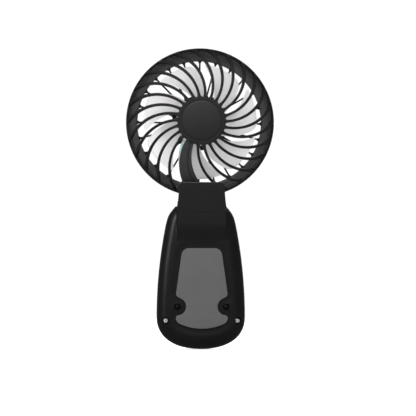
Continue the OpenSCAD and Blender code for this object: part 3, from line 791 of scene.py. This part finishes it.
def cross_screws(name, place, seat, r, slot_name, node):
    """A pan-head screw with a cross recess on each side of the handle, joined into one piece."""
    shank_r, shank_length = 0.8, 11.9
    profile = [(shank_r, seat - shank_length), (shank_r, seat)]
    profile += [(r * share, seat + height) for share, height in
                ((1, 0), (1, 0.35), (0.96, 0.6), (0.84, 0.85), (0.62, 1.03), (0.3, 1.1))]
    joined = Builder()
    for s in (-1, 1):
        centre = (s * place[0], place[1])
        screw = lofted(turned(centre, profile, 40)).solid("screw")
        cut(screw, [recess_tool(centre, seat, degrees) for degrees in (20, 110)])
        joined.add_object(screw)
    joined.piece(name, "handle", slot_name, node, sharp=30)


cross_screws("case_screws_cross", CASE_SCREW, CASE_SEAT, 1.65, "screw_silver", "case_screws")
cross_screws("boss_screws_cross", BOSS_SCREW, BOSS_SEAT, 1.7, "screw_black", "boss_screws")


# ---- head ----

def bowl_radius(y):
    """Radius of the front ring's outside at a depth."""
    t = (RIM_Y - y) / (RIM_Y - LIP_Y)
    return LIP_R + (HEAD_R - LIP_R) * math.sqrt(max(0.0, 1 - t * t))


def dome(r, inset=0.0):
    """Depth of the rear dome at a radius, drawn in by inset."""
    t = min(1.0, r / (HEAD_R - inset))
    return RIM_Y + (DOME_H - inset) * (1 - t ** DOME_POWER) ** (1 / DOME_POWER)


FLANGE_Y = dome(FLANGE_R) + 0.4


def dome_radius(y):
    """Radius of the rear dome at a depth."""
    t = max(0.0, y - RIM_Y) / DOME_H
    return HEAD_R * (1 - t ** DOME_POWER) ** (1 / DOME_POWER)


def dome_radii(first, steps):
    """Radii from the hub to the band, evenly spread along the dome's curve."""
    start = math.asin((first / HEAD_R) ** (DOME_POWER / 2))
    end = math.acos(((BAND_Y - 1 - RIM_Y) / DOME_H) ** (DOME_POWER / 2))
    angles = [start + (end - start) * i / steps for i in range(steps + 1)]
    return [HEAD_R * math.sin(a) ** (2 / DOME_POWER) for a in angles]


def dome_normal(r, degrees):
    depth = (dome(r) - RIM_Y) / DOME_H
    radial = (r / HEAD_R) ** (DOME_POWER - 1) / HEAD_R
    along = Vector((0, 1, 0)) * (depth ** (DOME_POWER - 1) / DOME_H)
    return (along + outward(degrees) * radial).normalized()


def rib_arc_angle(k, r, edge=0.0):
    """Angle, seen from behind, where rib k's arc passes radius r; edge moves it sideways."""
    arc_r = RIB_ARC_R + edge
    cosine = (r * r + RIB_ARC_C ** 2 - arc_r ** 2) / (2 * r * RIB_ARC_C)
    return RIB_PHASE + 360 / REAR_RIBS * k - math.degrees(math.acos(max(-1.0, min(1.0, cosine))))


BAR_SECTION = rounded([(-0.5, -0.5), (0.5, -0.5), (0.5, 0.5), (-0.5, 0.5)], 0.16, steps=3)


def swept_bar(path, width, depth, normals):
    """Rings of a bar with rounded corners along a path, which runs down the middle of its outer face."""
    rings = []
    for i, p in enumerate(path):
        tangent = (path[min(i + 1, len(path) - 1)] - path[max(i - 1, 0)]).normalized()
        across = tangent.cross(normals[i]).normalized()
        up = across.cross(tangent).normalized()
        rings.append([tuple(p + across * (u * width[i]) + up * ((v - 0.5) * depth)) for u, v in BAR_SECTION])
    return rings


def rear_rib(k):
    """A spiral rib, which widens as it runs into the flange."""
    flare, flare_length = 0.9, 1.6
    radii = dome_radii(15.6, 46)
    path = [seen_from_behind(r, rib_arc_angle(k, r), dome(r)) for r in radii]
    normals = [dome_normal(r, rib_arc_angle(k, r)) for r in radii]
    nearness = [max(0.0, 1 - max(0.0, r - FLANGE_R) / flare_length) for r in radii]
    width = [RIB_W * (1 + flare * near ** 2) for near in nearness]
    return swept_bar(path, width, RIB_DEPTH, normals)


# Across the wide rib: share of its width, and height over the dome. First comes a raised channel
# for the motor leads, then a groove and a lower ledge.
CABLE_RIB_TOP = [(0.0, -0.9), (0.0, -0.15), (0.03, 0.25), (0.10, 0.42), (0.2, 0.5), (0.34, 0.52), (0.48, 0.5),
                 (0.58, 0.42), (0.645, 0.2), (0.67, -0.3), (0.70, -0.35), (0.735, 0.0), (0.80, 0.12),
                 (0.9, 0.12), (0.965, 0.05), (1.0, -0.15), (1.0, -0.9)]


def cable_rib_span(r):
    """Angles of the wide rib's two edges at a radius."""
    return rib_arc_angle(CABLE_RIB, r, RIB_W / 2), rib_arc_angle(CABLE_RIB + 1, r, -RIB_W / 2)


def cable_rib():
    section = CABLE_RIB_TOP + [(share, -RIB_DEPTH) for share in (1.0, 0.75, 0.5, 0.25, 0.0)]
    rings = []
    for r in dome_radii(15.2, 40):
        first, last = cable_rib_span(r)
        ring = []
        for share, rise in section:
            degrees = first + (last - first) * share
            ring.append(tuple(seen_from_behind(r, degrees, dome(r)) + dome_normal(r, degrees) * rise))
        rings.append(ring)
    return rings


def on_cable_rib(r, degrees):
    """Whether a place on the guard belongs to the wide rib."""
    slack = 0.3
    first, last = cable_rib_span(r)
    past = (degrees - min(first, last) + slack) % 360
    return past < abs(last - first) + 2 * slack


def stem_rings():
    """Sections across the stem, whose top ends within the head's wall."""
    front, back, soft, inset = -5.0, 6.0, 0.35, 0.8
    edge = [STEM_W - soft, STEM_W - 0.1, STEM_W]
    middle = STEM_W - 1.5
    rings = []
    for x in [-x for x in reversed(edge)] + list(np.linspace(-middle, middle, 9)) + edge:
        shrink = soft * fall(max(0.0, (abs(x) - STEM_W + soft) / soft), 1)
        ring = [(x, front + shrink, TILT_Z)]
        ring += [(x, y - shrink, TILT_Z + rise)
                 for y, rise in ((1.0, 0), (back - 1.2, 2.1), (back - 0.3, 3.0), (back, 4.0))]
        for y in np.linspace(back, front, 10):
            wall_r = dome_radius(y) - inset
            depth = min(max(y, front + shrink), back - shrink)
            ring.append((x, depth, FAN_Z - math.sqrt(wall_r ** 2 - x ** 2)))
        rings.append(ring)
    return rings


def flange_profile():
    """The ring round the motor cover."""
    groove_r, front = cover_high.x + 0.05, 12.0
    corners = [(groove_r, front), (FLANGE_R, front), (FLANGE_R, FLANGE_Y), (groove_r, FLANGE_Y)]
    return rounded(corners, [0, 0.3, 0.8, 0.12])


def pot_profile():
    """The cup that holds the motor."""
    hole_r, pot_r, wall, floor = 3.2, 12.3, 1.6, 1.4
    front, back = -0.6, 13.1
    corners = [(hole_r, front), (pot_r + wall, front), (pot_r + wall, back), (pot_r, back),
               (pot_r, front + floor), (hole_r, front + floor)]
    return rounded(corners, [0.2, 0.5, 0.2, 0.2, 0.3, 0.2])


def band_profile():
    """The plain band round the ribs, with its rounded back edge."""
    front, edge_y = GUARD_SPLIT + 0.1, BAND_Y - 0.6
    edge, inner_r = dome_radius(edge_y), HEAD_R - GUARD_T
    outer = [(bowl_radius(y), y) for y in (front, RIM_Y)]
    outer += [(dome_radius(y), y) for y in np.linspace(RIM_Y + 0.5, edge_y, 8)]
    lip = [(edge - inward, BAND_Y - lower)
           for inward, lower in ((0.1, 0.25), (0.4, 0), (1.1, 0), (1.5, 0.3))]
    return outer + lip + [(inner_r, BAND_Y - 1), (inner_r, RIM_Y), (inner_r - 0.05, front)]


def build_rear_guard():
    builder = Builder()
    for k in range(REAR_RIBS):
        if k not in (CABLE_RIB, CABLE_RIB + 1):
            builder.add_loft(rear_rib(k))
    builder.add_loft(cable_rib())
    builder.add_lathe(flange_profile())
    builder.add_lathe(pot_profile())
    builder.add_lathe(band_profile(), steps=192)
    builder.add_loft(drum((TILT_Y, TILT_Z), "x", EAR_R - 0.2, -STEM_W, STEM_W, bevel=0.4, steps=64))
    builder.add_loft(stem_rings())
    guard = builder.piece("rear_guard_ribs", "head", "guard", "rear_guard", sharp=38)
    # The wide rib's faces get the lighter black: painted light where light falls on the rib.
    guard.data.materials.append(cable_rib_painted_light)
    for face in guard.data.polygons:
        x, z = face.center.x / MM, face.center.z / MM - FAN_Z
        r = math.hypot(x, z)
        if FLANGE_R < r < HEAD_R - GUARD_T and on_cable_rib(r, math.degrees(math.atan2(z, -x))):
            face.material_index = 1


build_rear_guard()


def build_motor_cover():
    """Round cap in the flange: a stub in the pot, then a domed face with a softened edge."""
    r, stub_r, soft, crown = cover_high.x, 12.1, 0.15, 0.3
    shoulder_y = cover_high.y - 2.1
    face_r, top = r - soft, FLANGE_Y + crown
    profile = [(NEAR_AXIS, cover_low.y), (stub_r, cover_low.y), (stub_r, shoulder_y), (r, shoulder_y),
               (r, FLANGE_Y - soft)]
    profile += [(face_r + soft * math.cos(a), FLANGE_Y - soft + soft * math.sin(a))
                for a in np.linspace(0.3, 1.5, 5)]
    profile += [(x, top - (top - FLANGE_Y) * (x / face_r) ** 2) for x in np.linspace(r - 1, NEAR_AXIS, 14)]
    lathed(profile).piece("motor_cover_domed", "head", "guard", "motor_cover", material=cover_face)


build_motor_cover()


def bowl_profile():
    """The ring of the front guard: bowl outside, rounded lip round the opening, inside wall."""
    ys = [GUARD_SPLIT + (LIP_Y - GUARD_SPLIT) * math.sin(a) for a in quarter(14)]
    floor, meet_r = LIP_Y + GUARD_T, 42.9
    outer = [(bowl_radius(y), y) for y in ys]
    lip = [(43.4, LIP_Y - 0.08)]
    lip += [(OPENING_R + out, LIP_Y + depth) for out, depth in
            ((0.45, 0.02), (0.1, 0.25), (0, 0.6), (0, 1.1), (0.15, 1.45), (0.6, GUARD_T))]
    inner = [(bowl_radius(y) - GUARD_T, max(y, floor + 0.3)) for y in reversed(ys)]
    inner = [(r, y) for r, y in inner if r > meet_r + 0.05]
    return outer + lip + [(meet_r, floor + 0.02)] + inner


def front_rib(degrees):
    """A straight rib from the disc to the bowl's lip, wider at both ends."""
    rib_w, rib_depth, flare, flare_length = 1.1, 2.0, 1.6, 1.7
    radii = [DISC_R + step for step in (-0.7, 0.2, 0.7, 1.4)] + [24, 29, 34, 38.5]
    radii += [OPENING_R + step for step in (-1.6, -0.8, -0.2, 0.5)]
    path = [seen_from_behind(r, degrees, LIP_Y + 0.15) for r in radii]
    nearness = [max(0.0, 1 - min(r - DISC_R, OPENING_R - r) / flare_length) for r in radii]
    width = [rib_w * (1 + flare * min(1.0, near ** 2)) for near in nearness]
    return swept_bar(path, width, rib_depth, [Vector((0, -1, 0))] * len(radii))


def disc_profile():
    """The disc that the ribs meet at, with a shallow seat for the badge."""
    seat_r, seat_y, front, back = DISC_R - 0.6, LIP_Y + 0.4, LIP_Y - 0.5, LIP_Y + 2.2
    corners = [(NEAR_AXIS, seat_y), (seat_r, seat_y), (seat_r, front), (DISC_R, front), (DISC_R, back),
               (NEAR_AXIS, back)]
    return rounded(corners, [0, 0, 0.15, 0.25, 0.5, 0])


def build_front_guard():
    builder = Builder()
    builder.add_lathe(bowl_profile(), steps=192)
    for i in range(FRONT_RIBS):
        builder.add_loft(front_rib(FRONT_RIB_PHASE + 360 / FRONT_RIBS * i))
    builder.add_lathe(disc_profile())
    bowl = builder.piece("front_guard_bowl", "head", "guard", "front_guard", sharp=38)
    # The bowl's inside wall gets the lighter black: painted light where light falls on the sloping wall.
    bowl.data.materials.append(bowl_inside_painted_light)
    for face in bowl.data.polygons:
        centre, normal = face.center / MM, face.normal
        out = Vector((centre.x, 0, centre.z - FAN_Z))
        inward = -normal.dot(out.normalized())
        if out.length > OPENING_R + 0.3 and max(normal.y, inward) > 0.4:
            face.material_index = 1


build_front_guard()


def build_badge():
    """Plain disc with a rounded edge and a slightly domed face."""
    back, front = badge_high.y, badge_low.y
    edge_r, edge_depth, edge_y, crown = 0.5, 0.35, front + 0.9, 0.55
    profile = [(NEAR_AXIS, back), (BADGE_R, back), (BADGE_R, edge_y)]
    profile += [(BADGE_R - edge_r + edge_r * math.cos(a), edge_y - edge_depth * math.sin(a))
                for a in np.linspace(0.3, 1.57, 5)]
    profile += [(x, front + crown * (x / BADGE_R) ** 2) for x in np.linspace(BADGE_R - 1, NEAR_AXIS, 12)]
    lathed(profile).piece("front_badge_plain", "head", "badge", "front_badge")


build_badge()


# ---- impeller ----

BLADE_PITCH = 360 / BLADES


def gap_low(r):
    """Angle where a gap between two blades begins, seen from behind."""
    return 11 + 1.31 * (r - 19) + 0.0008 * (r - 19) ** 2


def gap_high(r):
    """Angle where that gap ends and the next blade begins."""
    return 23 + 1.17 * (r - 19)


def blade_middle(r, s, turn):
    """Angle and depth on a blade's middle surface; s runs from the trailing to the leading edge."""
    first, last = gap_high(r), gap_low(r) + BLADE_PITCH
    reach = (r - HUB_R) / (TIP_R - HUB_R)
    front, rear = -9.5 + 1.5 * reach, 8 - 1.5 * reach
    camber = 1.6 * math.sin(math.pi * s)
    degrees = first + (last - first) * s
    return degrees + turn, front + (rear - front) * s - camber


def blade(k):
    """Rings of a blade, each a thin rounded section from the trailing to the leading edge and back."""
    turn = BLADE_PITCH * k
    root, steps, step = HUB_R - 0.7, 26, 0.01
    corner, corner_trim = 2.5, 0.07
    rings = []
    for a in quarter(22):
        r = root + (TIP_R - root) * math.sin(a)
        trim = corner_trim * max(0.0, (r - (TIP_R - corner)) / corner) ** 2
        taper = 1 - 0.35 * (r - HUB_R) / (TIP_R - HUB_R)
        there = [(i, 1) for i in range(steps + 1)]
        back_again = [(i, -1) for i in range(steps - 1, 0, -1)]
        ring = []
        for i, side in there + back_again:
            s = 0.5 - 0.5 * math.cos(math.pi * i / steps)
            along = trim + (1 - 2 * trim) * s
            degrees, y = blade_middle(r, along, turn)
            ahead = seen_from_behind(r, *blade_middle(r, min(1.0, along + step), turn))
            behind = seen_from_behind(r, *blade_middle(r, max(0.0, along - step), turn))
            normal = outward(degrees).normalized().cross((ahead - behind).normalized()).normalized()
            thickness = 0.55 * math.sqrt(max(0.0, 1 - (2 * s - 1) ** 6)) + 0.02
            ring.append(tuple(seen_from_behind(r, degrees, y) + normal * (side * thickness * taper)))
        rings.append(ring)
    return rings


def hub_profile():
    """A cup, open at the back, with a tube for the shaft."""
    front, back = blade_low.y, 8.5
    shaft_r, tube_r, tube_back, wall, floor = 1.0, 3.2, -2.0, 1.2, front + 1.4
    corners = [(shaft_r, front + 1.2), (2.2, front), (HUB_R, front), (HUB_R, back), (HUB_R - wall, back),
               (HUB_R - wall, floor), (tube_r, floor), (tube_r, tube_back), (shaft_r, tube_back)]
    return rounded(corners, [0, 0.4, 2.2, 0.4, 0.4, 1.4, 0.3, 0.2, 0.2])


def build_impeller():
    builder = Builder()
    builder.add_lathe(hub_profile())
    for k in range(BLADES):
        builder.add_loft(blade(k))
    builder.piece("impeller_blades", "impeller", "blade", "impeller", sharp=50)


build_impeller()


# ---- leads ----

def lead(name, route, node=None):
    """A round wire along a smooth curve drawn toward the route's points."""
    curve = bpy.data.curves.new(name, "CURVE")
    curve.dimensions = "3D"
    curve.bevel_depth = LEAD_R * MM
    curve.bevel_resolution = 4
    curve.resolution_u = 8
    curve.use_fill_caps = True
    spline = curve.splines.new("NURBS")
    spline.points.add(len(route) - 1)
    for point, place in zip(spline.points, route):
        point.co = (*(float(c) * MM for c in place), 1)
    spline.order_u = 3
    spline.use_endpoint_u = True
    obj = new_object(name, curve)
    curve.materials.append(materials["lead_cyan"])
    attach(obj, "head")
    if node:
        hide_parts(node)


# The motor leads run under the wide rib, as radius and angle, then down the stem, as Y and Z.
LEAD_R = 0.45
LEAD_APART = 0.7  # from the middle of the pair
LEAD_ROUTE = [(14.4, 238), (17, 235), (19.5, 233.2), (22, 233.4), (25, 238), (29, 246), (34, 253), (39, 259),
              (42.6, 265), (44, 268)]
LEAD_END = [(2.4, 107.2), (3, 105.4), (3.4, 103), (3.4, 99.8)]


def lead_route(side):
    """Places along one lead, a distance to the side of the middle of the pair."""
    route = []
    for r, degrees in LEAD_ROUTE:
        route.append(seen_from_behind(r, degrees - math.degrees(side / r), dome(r, RIB_DEPTH + 1)))
    return route + [(side, y, z) for y, z in LEAD_END]


lead("motor_lead_right", lead_route(-LEAD_APART), "motor_leads")
lead("motor_lead_left", lead_route(LEAD_APART))


# ---- controls ----

def build_button():
    """Power button: a stem to the switch, a collar behind the shell, and a face with a shallow dish."""
    r, front, inner = button_high.x - 0.8, button_low.y, FRONT_Y + WALL
    stem_r, collar_r, edge_r, dish = 1.5, r + 0.8, 0.6, 0.45
    profile = [(NEAR_AXIS, button_high.y), (stem_r, button_high.y), (stem_r, inner + 0.6),
               (collar_r, inner + 0.6), (collar_r, inner + 0.1), (r, inner + 0.1), (r, front + edge_r)]
    profile += [(r - edge_r + edge_r * math.cos(a), front + edge_r - edge_r * math.sin(a))
                for a in np.linspace(0.3, 1.57, 6)]
    profile += [(x, front + dish * (1 - (x / (r - 0.8)) ** 2)) for x in np.linspace(r - 1, NEAR_AXIS, 12)]
    button = lofted(turned((0, BUTTON_Z), profile, 96))
    button.piece("power_button_dished", "power_button", "control", "power_button", sharp=35)


build_button()


# ---- stage, light and camera ----

def build_stage():
    """Plain pale floor just below the part."""
    half, drop = 6.0, 0.0002
    corners = [(-half, -half, 0), (half, -half, 0), (half, half, 0), (-half, half, 0)]
    mesh = bpy.data.meshes.new("floor")
    mesh.from_pydata(corners, [], [(0, 1, 2, 3)])
    floor = new_object("floor", mesh)
    floor.location.z = -drop
    mesh.materials.append(surface("pale_floor", grey(0.93), grey(0.95), 0.8, grain=60, bump=0.01, blotch=2,
                                  specular=0.1))
    floor.visible_glossy = False


# Direction from the part's middle, distance, width, height, power, and whether it lights the part
# as well as being reflected. In metres and watts.
LIGHTS = {
    "key": ((0.74, 0.44, 0.44), 0.9, 0.20, 0.75, 2.3, True),
    "top": ((0.10, 0.80, 0.56), 0.62, 0.35, 0.25, 3.0, False),
    "front_key": ((-0.36, -0.90, 0.24), 0.9, 0.16, 0.75, 0.8, True),
    "front_top": ((-0.06, -0.94, 0.34), 0.62, 0.35, 0.25, 1.2, False),
}


def build_lights():
    middle = Vector((0, 0, 0.11))
    for name, (toward, away, width, height, power, diffuse) in LIGHTS.items():
        data = bpy.data.lights.new(name, "AREA")
        data.shape = "RECTANGLE"
        data.size = width
        data.size_y = height
        data.energy = power
        light = new_object(name, data)
        light.location = middle + Vector(toward).normalized() * away
        light.rotation_euler = (middle - light.location).to_track_quat("-Z", "Y").to_euler()
        light.visible_diffuse = diffuse


def build_world():
    """White world, weaker to the camera and in reflections than as light on the part."""
    lit, seen, reflected = 1.6, 1.04, 0.10
    world = bpy.data.worlds.new("studio")
    bpy.context.scene.world = world
    world.use_nodes = True
    nodes, links = world.node_tree.nodes, world.node_tree.links
    background = nodes["Background"]
    path = nodes.new("ShaderNodeLightPath")
    strength = None
    for ray, level in (("Is Glossy Ray", reflected), ("Is Camera Ray", seen)):
        step = nodes.new("ShaderNodeMath")
        step.operation = "MULTIPLY_ADD"
        links.new(path.outputs[ray], step.inputs[0])
        step.inputs[1].default_value = level - lit
        if strength:
            links.new(strength, step.inputs[2])
        else:
            step.inputs[2].default_value = lit
        strength = step.outputs["Value"]
    links.new(strength, background.inputs["Strength"])
    background.inputs["Color"].default_value = (1, 1, 1, 1)


def build_camera():
    """Long lens, looking at the back; the picture spans cover metres at the target."""
    lens, sensor, cover = 260.0, 36.0, 0.2780
    azimuth, elevation = math.radians(176.4), math.radians(-1.9)
    target = Vector((-0.0041, REST_Y * MM, 0.0942))
    level = math.cos(elevation)
    back = Vector((math.sin(azimuth) * level, -math.cos(azimuth) * level, math.sin(elevation)))
    data = bpy.data.cameras.new("camera")
    data.lens = lens
    data.sensor_width = sensor
    camera = new_object("camera", data)
    camera.location = target + back * (cover * lens / sensor)
    camera.rotation_euler = (-back).to_track_quat("-Z", "Y").to_euler()
    bpy.context.scene.camera = camera


build_stage()
build_lights()
build_world()
build_camera()
bpy.context.scene.view_settings.view_transform = "Standard"
